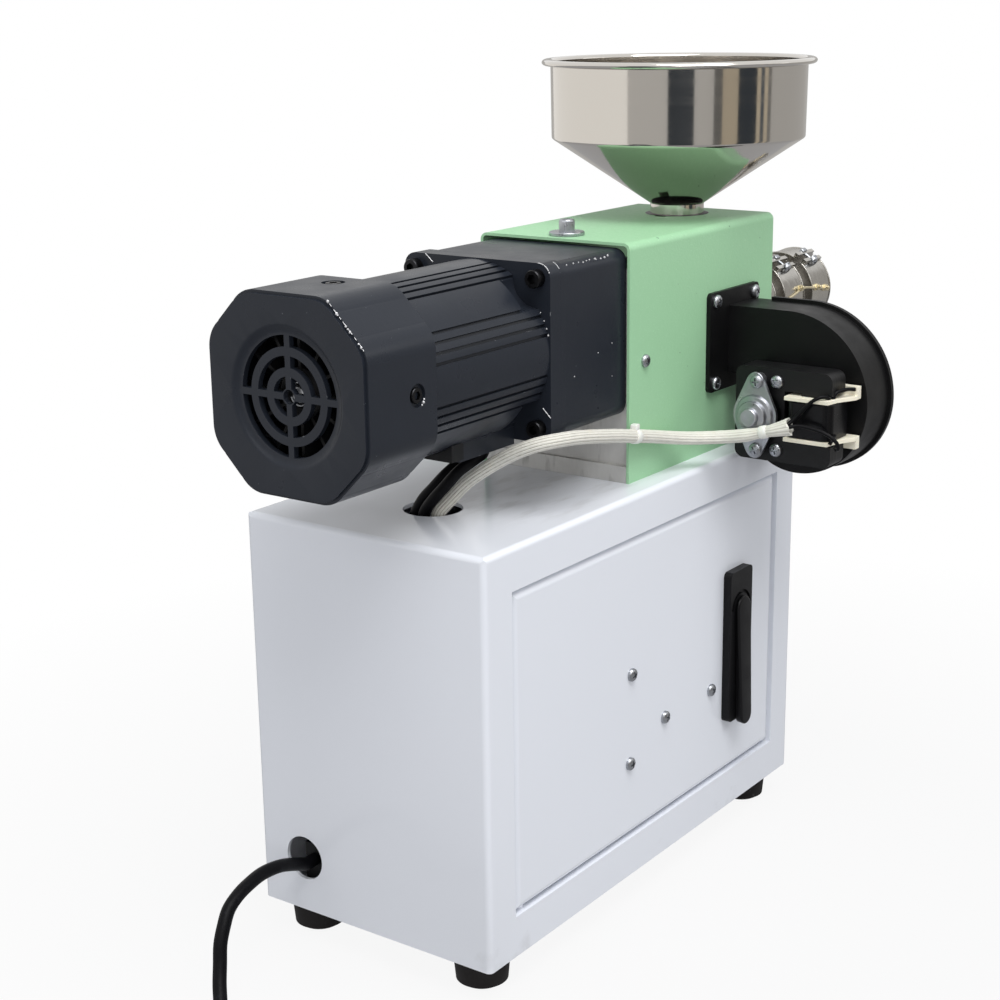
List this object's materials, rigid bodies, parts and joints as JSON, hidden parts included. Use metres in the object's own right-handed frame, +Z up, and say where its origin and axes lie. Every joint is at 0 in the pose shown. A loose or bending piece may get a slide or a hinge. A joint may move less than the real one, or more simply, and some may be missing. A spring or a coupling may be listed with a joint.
{
  "type": "single screw extruder",
  "caption": "Desktop screw extruder: sheet steel cabinet with a hinged door, geared motor, folded feed housing, steel hopper, heated barrel and a cooling blower.",
  "frame": {"origin": "middle of the footprint at floor level, without the mains lead", "axes": "+X from the motor to the die, +Y away from the door, +Z up"},
  "size_m": [0.6063, 0.2256, 0.4493],
  "materials": {
    "cabinet_paint": "satin powder coat",
    "rubber_feet": "matte",
    "handle_plastic": "satin",
    "milled_aluminium": "milled, stained",
    "feed_steel": "turned",
    "housing_paint": "satin powder coat",
    "zinc_steel": "zinc plated",
    "motor_paint": "satin",
    "fan_plastic": "matte",
    "spun_steel": "polished stainless",
    "band_steel": "rolled stainless",
    "blower_plastic": "matte",
    "core_iron": "dipped black",
    "bobbin_plastic": "satin",
    "coil_tape": "taped",
    "braid": "braided",
    "lead_rubber": "satin"
  },
  "bodies": {
    "machine": {"cabinet_top": "cabinet_paint", "cabinet_base": "cabinet_paint", "end_wall_motor": "cabinet_paint", "end_wall_die": "cabinet_paint", "control_wall": "cabinet_paint", "stile_motor": "cabinet_paint", "stile_die": "cabinet_paint", "rail_top": "cabinet_paint", "rail_bottom": "cabinet_paint", "rubber_feet": "rubber_feet", "cord_clip": "fan_plastic", "block_base": "milled_aluminium", "block_upright": "milled_aluminium", "feed_block": "feed_steel", "housing_cover": "housing_paint", "housing_bolt": "zinc_steel", "gearbox": "motor_paint", "motor_flange": "motor_paint", "motor_body": "motor_paint", "fan_cover": "motor_paint", "lead_outlet": "fan_plastic", "hopper": "spun_steel", "barrel": "feed_steel", "heater_band_rear": "band_steel", "heater_band_middle": "band_steel", "heater_band_front": "band_steel", "die": "feed_steel", "blower_flange": "blower_plastic", "blower_scroll": "blower_plastic", "blower_core": "core_iron", "bearing_bracket": "zinc_steel", "blower_bobbin": "bobbin_plastic", "blower_coil": "coil_tape", "motor_leads": "lead_rubber", "braided_sleeve": "braid", "mains_lead": "lead_rubber", "lead_coil": "lead_rubber", "lead_plug": "lead_rubber"},
    "door": {"door_panel": "cabinet_paint", "handle_base": "handle_plastic"},
    "lever": {"handle_lever": "handle_plastic"},
    "fan": {"motor_fan": "fan_plastic"}
  },
  "joints": [
    {"name": "door_hinge", "type": "hinge", "parent": "machine", "child": "door", "pos_m": [-0.16065, -0.03145, 0.1255], "axis": [0, 0, -1], "range_deg": [0, 110]},
    {"name": "handle_turn", "type": "hinge", "parent": "door", "child": "lever", "pos_m": [0.05075, -0.04145, 0.141], "axis": [0, 1, 0], "range_deg": [0, 90]},
    {"name": "motor_fan_spin", "type": "hinge", "parent": "machine", "child": "fan", "pos_m": [-0.22605, 0.02525, 0.3135], "axis": [1, 0, 0], "continuous": true}
  ]
}
